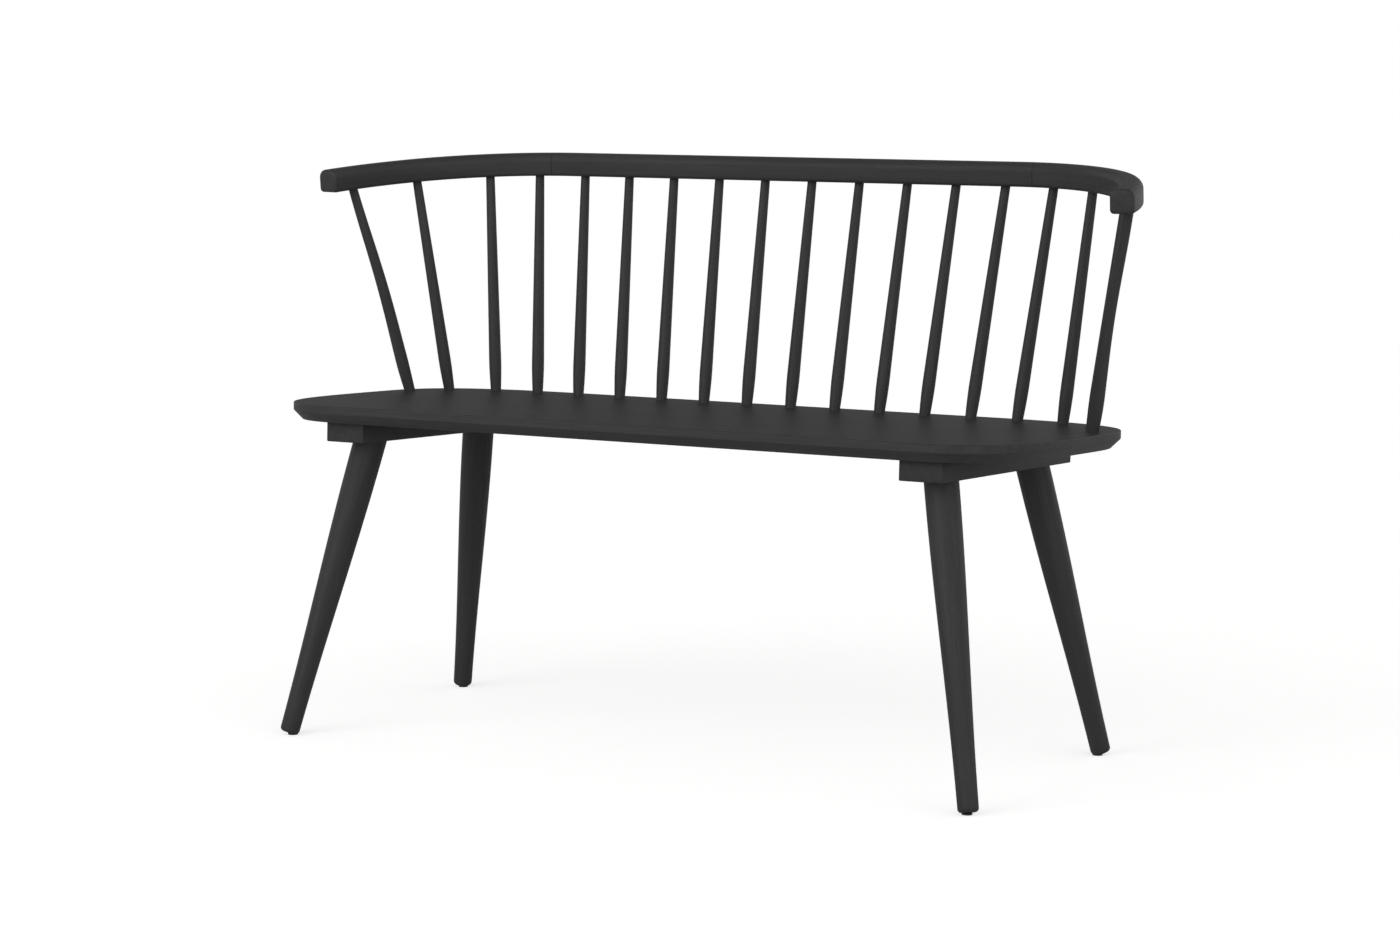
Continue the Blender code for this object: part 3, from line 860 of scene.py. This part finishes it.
@dataclass
class Bow:
    """The back rail and the two arms, in one plane that falls towards the front."""

    seat: SeatBoard
    y: float = 0.4924  # centre line of the back rail behind the seat's front edge
    height: float = 0.7587
    tilt: float = math.radians(5.12)
    straight: float = 0.3429  # half of the straight run
    corner_radius: float = 0.2354
    corner_length: float = 0.2432
    arm_radius: float = 0.3598
    arm_length: float = 0.1481
    joint: float = 0.3730  # butt joint, along the bow from its middle
    width: float = 0.0315
    thickness: float = 0.0315
    top_radius: float = 0.0105
    bottom_radius: float = 0.0050
    end_radius: float = 0.0045
    joint_ease: float = 0.0004  # taken off the arrises at the butt joints
    step: float = 0.0060  # between the rings of a curved stretch
    end_steps: int = 6
    corner_faces: int = 8

    @property
    def plane(self) -> Matrix:
        """The bow's own frame, with its origin at the middle of the back rail."""
        place = Matrix.Translation((0, self.seat.front_y + self.y, self.height))
        return place @ Matrix.Rotation(self.tilt, 4, "X")

    def point(self, station: float) -> Vector:
        """Point on the bow's centre line.

        Args:
            station: distance along the bow from its middle, negative to the left.

        Returns:
            The point, in the bow's own frame.
        """
        distance = abs(station)
        turn = min(max(distance - self.straight, 0), self.corner_length) / self.corner_radius
        past = max(distance - self.straight - self.corner_length, 0) / self.arm_radius
        x = min(distance, self.straight) + self.corner_radius * math.sin(turn)
        x += self.arm_radius * (math.sin(turn + past) - math.sin(turn))
        y = -self.corner_radius * (1 - math.cos(turn))
        y += self.arm_radius * (math.cos(turn + past) - math.cos(turn))
        return Vector((math.copysign(x, station), y, 0))

    def path(self, name: str, rings: Sequence[tuple[float, float]]) -> bpy.types.Object:
        """Lay out a line along the bow for the sweep.

        Args:
            name: the object's name.
            rings: each ring's station and the share of the full section there.

        Returns:
            An object of joined edges with the station and share of each point.
        """
        mesh = bpy.data.meshes.new(name)
        points = [self.point(station) for station, _ in rings]
        mesh.from_pydata(points, list(pairwise(range(len(points)))), [])
        stations = mesh.attributes.new("station", "FLOAT", "POINT")
        shares = mesh.attributes.new("share", "FLOAT", "POINT")
        for index, (station, share) in enumerate(rings):
            stations.data[index].value = station
            shares.data[index].value = share
        return new_object(name, mesh)

    def stations(self, start: float, end: float) -> list[float]:
        """Stations close enough to follow the bow's curve, ends included.

        Args:
            start: first station.
            end: last station.

        Returns:
            The stations.
        """
        count = max(1, round(abs(end - start) / self.step))
        return [start + (end - start) * index / count for index in range(count + 1)]

    @property
    def eased_share(self) -> float:
        """Share of the full section that the faces of a butt joint have."""
        return 1 - 2 * self.joint_ease / self.thickness

    def rail_rings(self) -> list[tuple[float, float]]:
        """Rings of the back rail between its butt joints.

        Returns:
            Each ring's station and the share of the section there.
        """
        end = self.joint - GAP / 2
        full = end - self.joint_ease
        rings = [(station, 1.0) for station in self.stations(-full, full)]
        return [(-end, self.eased_share), *rings, (end, self.eased_share)]

    def arm_rings(self, side: Side) -> list[tuple[float, float]]:
        """Rings of an arm from its butt joint to its eased front end.

        Args:
            side: the arm's side.

        Returns:
            Each ring's station and the share of the section there.
        """
        tip = self.straight + self.corner_length + self.arm_length
        start = self.joint + GAP / 2
        rings = [(start, self.eased_share)]
        full = self.stations(start + self.joint_ease, tip - self.end_radius)
        rings += [(station, 1.0) for station in full]
        for index in range(1, self.end_steps + 1):
            turn = math.pi / 2 * index / self.end_steps
            share = 1 - self.end_radius * (1 - math.cos(turn)) / (self.thickness / 2)
            rings.append((tip - self.end_radius * (1 - math.sin(turn)), share))
        return [(side.value * station, share) for station, share in rings]

    def sweep_tree(self) -> bpy.types.NodeTree:
        """Build the tree that sweeps the rail's section along a line.

        Returns:
            The tree.
        """
        labels = ("Thickness", "Width", "Top Radius", "Bottom Radius")
        sockets = {label: "Float" for label in labels}
        sockets |= {"Corner Faces": "Int", "Wood": "Vector", "Finish": "Material"}
        tree, size = new_tree("rail_sweep", sockets)
        line = add_node(tree, "GeometryNodeMeshToCurve", inputs={"Mesh": size["Geometry"]})
        upright = add_node(tree, "GeometryNodeSetCurveNormal", {"mode": "Z_UP"}, {"Curve": line})
        square = add_node(
            tree,
            "GeometryNodeCurvePrimitiveQuadrilateral",
            inputs={"Width": size["Thickness"], "Height": size["Width"]},
        )
        corner = add_node(tree, "GeometryNodeInputPosition").outputs[0]
        axes = add_node(tree, "ShaderNodeSeparateXYZ", inputs={0: corner})
        # The sweep carries the section upside down, so the rail's top is its lower half
        is_top = add_node(
            tree, "ShaderNodeMath", {"operation": "LESS_THAN"}, {0: axes.outputs["Y"], 1: 0.0}
        )
        radius = add_node(
            tree,
            "ShaderNodeMapRange",
            inputs={"Value": is_top, "To Min": size["Bottom Radius"], "To Max": size["Top Radius"]},
        )
        section = add_node(
            tree,
            "GeometryNodeFilletCurve",
            {"mode": "POLY"},
            {"Curve": square, "Count": size["Corner Faces"], "Radius": radius},
        )
        marked = add_node(
            tree,
            "GeometryNodeStoreNamedAttribute",
            {"data_type": "FLOAT_VECTOR", "domain": "POINT"},
            {"Geometry": section, "Name": "across", "Value": corner},
        )
        station, share, across = (
            add_node(tree, "GeometryNodeInputNamedAttribute", {"data_type": kind}, {"Name": name})
            for name, kind in (("station", "FLOAT"), ("share", "FLOAT"), ("across", "FLOAT_VECTOR"))
        )
        swept = add_node(
            tree,
            "GeometryNodeCurveToMesh",
            inputs={"Curve": upright, "Profile Curve": marked, "Scale": share, "Fill Caps": True},
        )
        offset = add_node(tree, "ShaderNodeSeparateXYZ", inputs={0: across})
        in_wood = add_node(
            tree,
            "ShaderNodeCombineXYZ",
            inputs={"X": station, "Y": offset.outputs["X"], "Z": offset.outputs["Y"]},
        )
        shifted = add_node(
            tree, "ShaderNodeVectorMath", {"operation": "ADD"}, {0: in_wood, 1: size["Wood"]}
        )
        grained = add_node(
            tree,
            "GeometryNodeStoreNamedAttribute",
            {"data_type": "FLOAT_VECTOR", "domain": "POINT"},
            {"Geometry": swept, "Name": "grain", "Value": shifted},
        )
        end_tree(tree, grained, size["Finish"])
        return tree

    def build(self, shop: Workshop, wood: bpy.types.Material) -> None:
        """Make the back rail and both arms.

        Args:
            shop: the workshop.
            wood: the stained wood.
        """
        lengths = {"back_rail": self.rail_rings()}
        for side in Side:
            lengths[f"{side.word}_arm"] = self.arm_rings(side)
        tree = self.sweep_tree()
        for node, rings in lengths.items():
            mesh = grow(
                self.path(f"{node}_line", rings),
                tree,
                {
                    "Thickness": self.thickness,
                    "Width": self.width,
                    "Top Radius": self.top_radius,
                    "Bottom Radius": self.bottom_radius,
                    "Corner Faces": self.corner_faces,
                    "Wood": shop.next_wood(),
                    "Finish": wood,
                },
            )
            mesh = close_up(merged(mesh, SAME_POINT), sharp_angle=40.0)
            mesh.materials.append(wood)
            mesh.transform(self.plane)
            shop.hand_over(new_object(f"{node}_smooth", mesh), "stained_wood", node)


# Spindles


@dataclass
class SpindleBack:
    """The turned spindles, each along the axis of its CAD node."""

    count: int = 18
    foot: float = 0.0148  # diameters
    swell: float = 0.0175
    head: float = 0.0125
    swell_height: float = 0.0450
    bend: float = 0.0033  # how far the first and the last one bend towards the middle
    seat_socket: float = 0.0160
    rail_socket: float = 0.0180
    sides: int = 28
    rings: int = 72
    axis_passes: int = 3  # each one finds the end faces along a truer axis

    def axis(self, node: str) -> tuple[Vector, Vector]:
        """Find the centres of a CAD spindle's two end faces.

        Args:
            node: the node's name.

        Returns:
            The lower and the upper centre.
        """
        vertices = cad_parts[node].data.vertices
        points = {tuple(round(value, 6) for value in vertex.co) for vertex in vertices}
        corners = sorted((Vector(point) for point in points), key=lambda point: point.z)
        low, high = corners[0], corners[-1]
        for _ in range(self.axis_passes):
            run = (high - low).normalized()
            reach = [point.dot(run) for point in corners]
            ends = []
            for limit in (min(reach), max(reach)):
                face = [point for point, at in zip(corners, reach) if abs(at - limit) < GAP]
                ends.append(sum(face, Vector()) / len(face))
            low, high = ends
        return low, high

    def tree(self) -> bpy.types.NodeTree:
        """Build the tree that turns one spindle on +Z, from its tenon in the seat upwards.

        Returns:
            The tree.
        """
        labels = ("Length", "Foot", "Swell", "Head", "Swell Height", "Seat Socket", "Rail Socket")
        sockets = {label: "Float" for label in labels}
        sockets |= {"Bend": "Vector", "Sides": "Int", "Rings": "Int", "Finish": "Material"}
        tree, size = new_tree("turned_spindle", sockets)
        low = add_node(tree, "ShaderNodeMath", {"operation": "MULTIPLY"}, {0: size["Seat Socket"], 1: -1.0})
        high = add_node(
            tree, "ShaderNodeMath", {"operation": "ADD"}, {0: size["Length"], 1: size["Rail Socket"]}
        )
        bottom = add_node(tree, "ShaderNodeCombineXYZ", inputs={"Z": low})
        top = add_node(tree, "ShaderNodeCombineXYZ", inputs={"Z": high})
        line = add_node(tree, "GeometryNodeCurvePrimitiveLine", inputs={"Start": bottom, "End": top})
        axis = add_node(
            tree, "GeometryNodeResampleCurve", {"mode": "COUNT"}, {"Curve": line, "Count": size["Rings"]}
        )
        along_axis = add_node(tree, "GeometryNodeSplineParameter")
        height = add_node(
            tree,
            "ShaderNodeMath",
            {"operation": "SUBTRACT"},
            {0: along_axis.outputs["Length"], 1: size["Seat Socket"]},
        )
        # Up to the swell the diameter follows a quarter of a sine, then it tapers evenly
        quarter = add_node(
            tree,
            "ShaderNodeMapRange",
            inputs={"Value": height, "From Max": size["Swell Height"], "To Max": math.pi / 2},
        )
        rise = add_node(tree, "ShaderNodeMath", {"operation": "SINE"}, {0: quarter})
        lower = add_node(
            tree,
            "ShaderNodeMapRange",
            inputs={"Value": rise, "To Min": size["Foot"], "To Max": size["Swell"]},
        )
        diameter = add_node(
            tree,
            "ShaderNodeMapRange",
            inputs={
                "Value": height,
                "From Min": size["Swell Height"],
                "From Max": size["Length"],
                "To Min": lower,
                "To Max": size["Head"],
            },
        )
        half = add_node(
            tree,
            "ShaderNodeMapRange",
            inputs={"Value": height, "From Max": size["Length"], "To Max": math.pi},
        )
        wave = add_node(tree, "ShaderNodeMath", {"operation": "SINE"}, {0: half})
        bulge = add_node(tree, "ShaderNodeMath", {"operation": "POWER"}, {0: wave, 1: 2.0})
        offset = add_node(
            tree, "ShaderNodeVectorMath", {"operation": "SCALE"}, {0: size["Bend"], "Scale": bulge}
        )
        bent = add_node(
            tree,
            "GeometryNodeSetPosition",
            inputs={"Geometry": axis, "Offset": offset},
        )
        circle = add_node(
            tree, "GeometryNodeCurvePrimitiveCircle", inputs={"Resolution": size["Sides"], "Radius": 0.5}
        )
        shape = add_node(
            tree,
            "GeometryNodeCurveToMesh",
            inputs={"Curve": bent, "Profile Curve": circle, "Scale": diameter, "Fill Caps": True},
        )
        end_tree(tree, shape, size["Finish"])
        return tree

    def build(self, shop: Workshop, wood: bpy.types.Material) -> None:
        """Turn all spindles and set each on its own axis.

        Args:
            shop: the workshop.
            wood: the stained wood.
        """
        tree = self.tree()
        for number in range(1, self.count + 1):
            node = f"spindle_{number:02d}"
            low, high = self.axis(node)
            run = (high - low).normalized()
            placement = along(low + run * self.seat_socket, high)
            bend = Vector()
            if number in (1, self.count):
                bend = placement.to_3x3().inverted() @ Vector((-low.x, 0, 0))
                bend.z = 0
                bend = bend.normalized() * self.bend
            mesh = grow(
                new_object(f"{node}_base", bpy.data.meshes.new(node)),
                tree,
                {
                    "Length": (high - low).length - self.seat_socket - self.rail_socket,
                    "Foot": self.foot,
                    "Swell": self.swell,
                    "Head": self.head,
                    "Swell Height": self.swell_height,
                    "Seat Socket": self.seat_socket,
                    "Rail Socket": self.rail_socket,
                    "Bend": bend,
                    "Sides": self.sides,
                    "Rings": self.rings,
                    "Finish": wood,
                },
            )
            smooth(mesh, sharp_angle=40.0)
            shop.mark_grain(mesh, GrainRun.ALONG_Z)
            mesh.transform(placement)
            shop.hand_over(new_object(f"turned_{node}", mesh), "stained_wood", node)


# Legs


@dataclass
class Legs:
    """The four splayed turned legs, cut off under the battens, and the glides under them."""

    seat: SeatBoard
    battens: Battens
    front_foot: tuple[float, float] = (0.5026, 0.0110)  # where the axis meets the floor
    front_top: tuple[float, float] = (0.4224, 0.0940)  # and the underside of its batten
    rear_foot: tuple[float, float] = (0.4998, 0.4389)
    rear_top: tuple[float, float] = (0.4250, 0.3680)
    foot: float = 0.0262  # diameters
    top: float = 0.0438
    swell_lead: float = 0.0200  # the swelling curve starts this far below the foot
    rim_radius: float = 0.0050
    end_height: float = 0.0033
    sides: int = 48
    rings: int = 40
    rim_steps: int = 6
    glide_diameter: float = 0.0135
    glide_thickness: float = 0.0022
    glide_ease: float = 0.0006
    glide_inset: float = 0.0050
    pin: float = 0.0030
    pin_length: float = 0.0120

    def radius(self, distance: float, length: float) -> float:
        """Radius of a leg this far up its axis.

        Args:
            distance: height along the axis.
            length: the axis's length up to the batten.

        Returns:
            The radius.
        """
        share = (distance + self.swell_lead) / (length + self.swell_lead)
        swell = (1 - math.cos(math.pi * min(share, 1))) / 2
        return (self.foot + (self.top - self.foot) * swell) / 2

    def profile(self, length: float) -> list[tuple[float, float]]:
        """Radii of a leg from its rounded foot to past its top.

        Args:
            length: the axis's length up to the batten.

        Returns:
            Radius and height, from pole to pole.
        """
        line = [(0.0, 0.0)]
        for step in range(self.rim_steps + 1):
            turn = math.pi / 2 * step / self.rim_steps
            inset = self.rim_radius * (1 - math.sin(turn))
            radius = self.radius(self.rim_radius, length) - inset
            line.append((radius, self.rim_radius * (1 - math.cos(turn))))
        for ring in range(1, self.rings + 1):
            height = self.rim_radius + (length - self.rim_radius) * ring / self.rings
            line.append((self.radius(height, length), height))
        return line + [(self.top / 2, length + self.top), (0.0, length + self.top)]

    def build(self, shop: Workshop, wood: bpy.types.Material, nylon: bpy.types.Material) -> None:
        """Turn the legs and mould the glides.

        Args:
            shop: the workshop.
            wood: the stained wood.
            nylon: the glides' finish.
        """
        places = {Row.FRONT: (self.front_foot, self.front_top), Row.REAR: (self.rear_foot, self.rear_top)}
        for side in Side:
            for row, (foot, top) in places.items():
                name = f"{row.value}_{side.word}"
                floor_point = Vector((side.value * foot[0], self.seat.front_y + foot[1], 0))
                in_seat = Vector((side.value * top[0], top[1], self.battens.underside))
                batten_point = self.seat.plane @ in_seat
                axis = (batten_point - floor_point).normalized()
                end = floor_point + axis * self.end_height / axis.z
                self.build_leg(shop, f"{name}_leg", end, batten_point, wood)
                inward = Vector((axis.x, axis.y, 0)).normalized()
                self.build_glide(shop, f"{name}_glide", end + inward * self.glide_inset, nylon)

    def build_leg(
        self, shop: Workshop, node: str, end: Vector, batten_point: Vector, wood: bpy.types.Material
    ) -> None:
        """Turn one leg, and cut it off at its batten and above its glide.

        Args:
            shop: the workshop.
            node: the leg's node.
            end: the lower end of its axis.
            batten_point: where the axis meets the underside of the batten.
            wood: the stained wood.
        """
        placement = along(end, batten_point)
        work = turned(self.profile((batten_point - end).length), self.sides)
        to_leg = placement.inverted()
        up = self.seat.plane.to_3x3() @ Vector((0, 0, 1))
        trim(work, to_leg @ (batten_point - up * GAP), to_leg.to_3x3() @ up)
        ground = Vector((end.x, end.y, self.glide_thickness + GAP))
        trim(work, to_leg @ ground, to_leg.to_3x3() @ Vector((0, 0, -1)))
        mesh = close_up(work, sharp_angle=30.0)
        shop.mark_grain(mesh, GrainRun.ALONG_Z)
        mesh.transform(placement)
        mesh.materials.append(wood)
        shop.hand_over(new_object(f"turned_{node}", mesh), "stained_wood", node)

    def build_glide(self, shop: Workshop, node: str, middle: Vector, nylon: bpy.types.Material) -> None:
        """Mould one glide, a pad with a pin that goes up into the leg.

        Args:
            shop: the workshop.
            node: the glide's node.
            middle: a point above or below its middle.
            nylon: the glides' finish.
        """
        pad, pin = self.glide_diameter / 2, self.pin / 2
        corners = [
            (0.0, 0.0, 0.0),
            (pad, 0.0, self.glide_ease),
            (pad, self.glide_thickness, self.glide_ease / 4),
            (pin, self.glide_thickness, self.glide_ease / 4),
            (pin, self.glide_thickness + self.pin_length, self.glide_ease / 2),
            (0.0, self.glide_thickness + self.pin_length, 0.0),
        ]
        glide = close_up(turned(eased(corners), self.sides), sharp_angle=40.0)
        glide.transform(Matrix.Translation((middle.x, middle.y, 0)))
        glide.materials.append(nylon)
        shop.hand_over(new_object(f"moulded_{node}", glide), "black_nylon", node)


# Pieces inside the joints


@dataclass
class HiddenHardware:
    """Dowels, hanger bolts and threaded inserts, which keep their CAD shapes."""

    beech: bpy.types.Material
    zinc: bpy.types.Material

    def build(self) -> None:
        """Give each one its finish."""
        finishes = {"_dowel": self.beech, "_hanger_bolt": self.zinc, "_insert": self.zinc}
        for node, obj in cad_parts.items():
            for ending, finish in finishes.items():
                if node.endswith(ending):
                    obj.data.materials.clear()
                    obj.data.materials.append(finish)
                    log.info("%s: %s", node, finish.name)


# Studio


@dataclass(frozen=True)
class Lamp:
    """One soft square lamp."""

    name: str
    place: tuple[float, float, float]
    size: float
    power: float  # watts

    def build(self, aim: Vector) -> None:
        """Hang the lamp.

        Args:
            aim: the point that it faces.
        """
        light = bpy.data.lights.new(self.name, "AREA")
        light.shape = "SQUARE"
        light.size = self.size
        light.energy = self.power
        obj = bpy.data.objects.new(self.name, light)
        turn = (aim - Vector(self.place)).to_track_quat("-Z", "Y").to_matrix().to_4x4()
        obj.matrix_world = Matrix.Translation(self.place) @ turn
        bpy.context.scene.collection.objects.link(obj)


@dataclass(frozen=True)
class Glow:
    """A broad light in the surround, full in one direction and gone at right angles to it."""

    towards: tuple[float, float, float]
    strength: float  # where 1 is white


@dataclass
class Studio:
    """A pale floor, a surround that glows mostly from the photographer's side, and a soft lamp."""

    aim: Vector = field(default_factory=lambda: Vector((0, 0, 0.45)))
    lamps: tuple[Lamp, ...] = (Lamp("key_lamp", (-1.8, -4.2, 2.2), 3.0, 50.0),)
    glows: tuple[Glow, ...] = (
        Glow((0.472, -0.858, -0.2), 1.53),  # from the camera's side
        Glow((-0.858, -0.472, -0.2), 0.81),  # from its left
        Glow((0.858, 0.472, -0.2), 1.09),  # from its right
        Glow((-0.482, 0.876, 0.0), 0.21),  # from behind the bench, which its top faces mirror
    )
    floor_size: float = 14.0
    floor_colour: str = "#d4d4d3"
    floor_roughness: float = 0.9
    white: float = 1.0  # what the camera sees of the surround
    in_gloss: float = 0.03  # share of it in gloss, so that flat angles on satin wood stay dark
    floor_lift: float = 0.63  # brings the lit floor up to white for the camera

    def seen(self, tree: bpy.types.NodeTree) -> bpy.types.NodeSocket:
        """Tell what the camera sees, directly, through glass or, more faintly, in gloss.

        Args:
            tree: the tree that asks.

        Returns:
            A socket that is 1 for such rays, and less for gloss.
        """
        path = add_node(tree, "ShaderNodeLightPath")
        gloss = add_node(
            tree,
            "ShaderNodeMath",
            {"operation": "MULTIPLY"},
            {0: path.outputs["Is Glossy Ray"], 1: self.in_gloss},
        )
        either = add_node(
            tree,
            "ShaderNodeMath",
            {"operation": "MAXIMUM"},
            {0: path.outputs["Is Camera Ray"], 1: gloss},
        )
        return add_node(
            tree,
            "ShaderNodeMath",
            {"operation": "MAXIMUM"},
            {0: either, 1: path.outputs["Is Transmission Ray"]},
        ).outputs[0]

    def build_surround(self) -> None:
        """Light the bench from all round, and show the camera a white surround."""
        world = bpy.data.worlds.new("studio")
        world.use_nodes = True
        bpy.context.scene.world = world
        tree = world.node_tree
        direction = add_node(tree, "ShaderNodeTexCoord").outputs["Generated"]
        light: bpy.types.Node | float = 0.0
        for glow in self.glows:
            facing = add_node(
                tree, "ShaderNodeVectorMath", {"operation": "DOT_PRODUCT"}, {0: direction, 1: glow.towards}
            )
            level = add_node(
                tree, "ShaderNodeMath", {"operation": "MAXIMUM"}, {0: facing.outputs["Value"], 1: 0.0}
            )
            light = add_node(
                tree,
                "ShaderNodeMath",
                {"operation": "MULTIPLY_ADD"},
                {0: level, 1: glow.strength, 2: light},
            )
        strength = add_node(
            tree,
            "ShaderNodeMapRange",
            inputs={"Value": self.seen(tree), "To Min": light, "To Max": self.white},
        )
        background = tree.nodes["Background"]
        background.inputs["Color"].default_value = (1.0, 1.0, 1.0, 1.0)
        tree.links.new(strength.outputs[0], background.inputs["Strength"])

    def build_floor(self) -> None:
        """Lay the floor, which keeps the bench's shadow."""
        half = self.floor_size / 2
        mesh = bpy.data.meshes.new("studio_floor")
        corners = [(-half, -half, 0), (half, -half, 0), (half, half, 0), (-half, half, 0)]
        mesh.from_pydata(corners, [], [(0, 1, 2, 3)])
        material, tree, shader = new_material("matt_white_floor")
        shader.inputs["Base Color"].default_value = linear(self.floor_colour)
        shader.inputs["Roughness"].default_value = self.floor_roughness
        shader.inputs["Specular IOR Level"].default_value = 0.0
        shader.inputs["Emission Color"].default_value = (1.0, 1.0, 1.0, 1.0)
        lift = add_node(
            tree, "ShaderNodeMath", {"operation": "MULTIPLY"}, {0: self.seen(tree), 1: self.floor_lift}
        )
        tree.links.new(lift.outputs[0], shader.inputs["Emission Strength"])
        mesh.materials.append(material)
        new_object("studio_floor", mesh)

    def build(self) -> None:
        """Set the studio up."""
        self.build_surround()
        self.build_floor()
        for lamp in self.lamps:
            lamp.build(self.aim)


@dataclass
class PhotoCamera:
    """The photograph's camera: where it stood and how it was turned."""

    place: tuple[float, float, float] = (2.2042, -4.0127, 0.9049)
    azimuth: float = math.radians(28.8388)
    elevation: float = math.radians(6.6674)
    roll: float = math.radians(0.3068)
    lens: float = 89.215
    film_width: float = 36.0  # millimetres, as the lens's length

    def build(self) -> None:
        """Add the camera and make it the scene's."""
        camera = bpy.data.cameras.new("photo_camera")
        camera.sensor_fit = "HORIZONTAL"
        camera.sensor_width = self.film_width
        camera.lens = self.lens
        obj = bpy.data.objects.new("photo_camera", camera)
        turn = Matrix.Rotation(self.azimuth, 4, "Z") @ Matrix.Rotation(math.pi / 2 - self.elevation, 4, "X")
        obj.matrix_world = Matrix.Translation(self.place) @ turn @ Matrix.Rotation(self.roll, 4, "Z")
        bpy.context.scene.collection.objects.link(obj)
        bpy.context.scene.camera = obj


def main() -> None:
    """Build the bench's pieces in order, then the studio and the camera."""
    logging.basicConfig(level=logging.INFO, format="%(message)s")
    shop = Workshop()
    wood = StainedWood().material()
    beech, zinc, nylon = BEECH.material(), ZINC.material(), NYLON.material()
    seat = SeatBoard()
    battens = Battens(seat)
    seat.build(shop, wood)
    battens.build(shop, wood, zinc)
    Bow(seat).build(shop, wood)
    SpindleBack().build(shop, wood)
    Legs(seat, battens).build(shop, wood, nylon)
    HiddenHardware(beech, zinc).build()
    Studio().build()
    PhotoCamera().build()
    bpy.context.scene.view_settings.view_transform = "Standard"


if __name__ == "__main__":
    main()
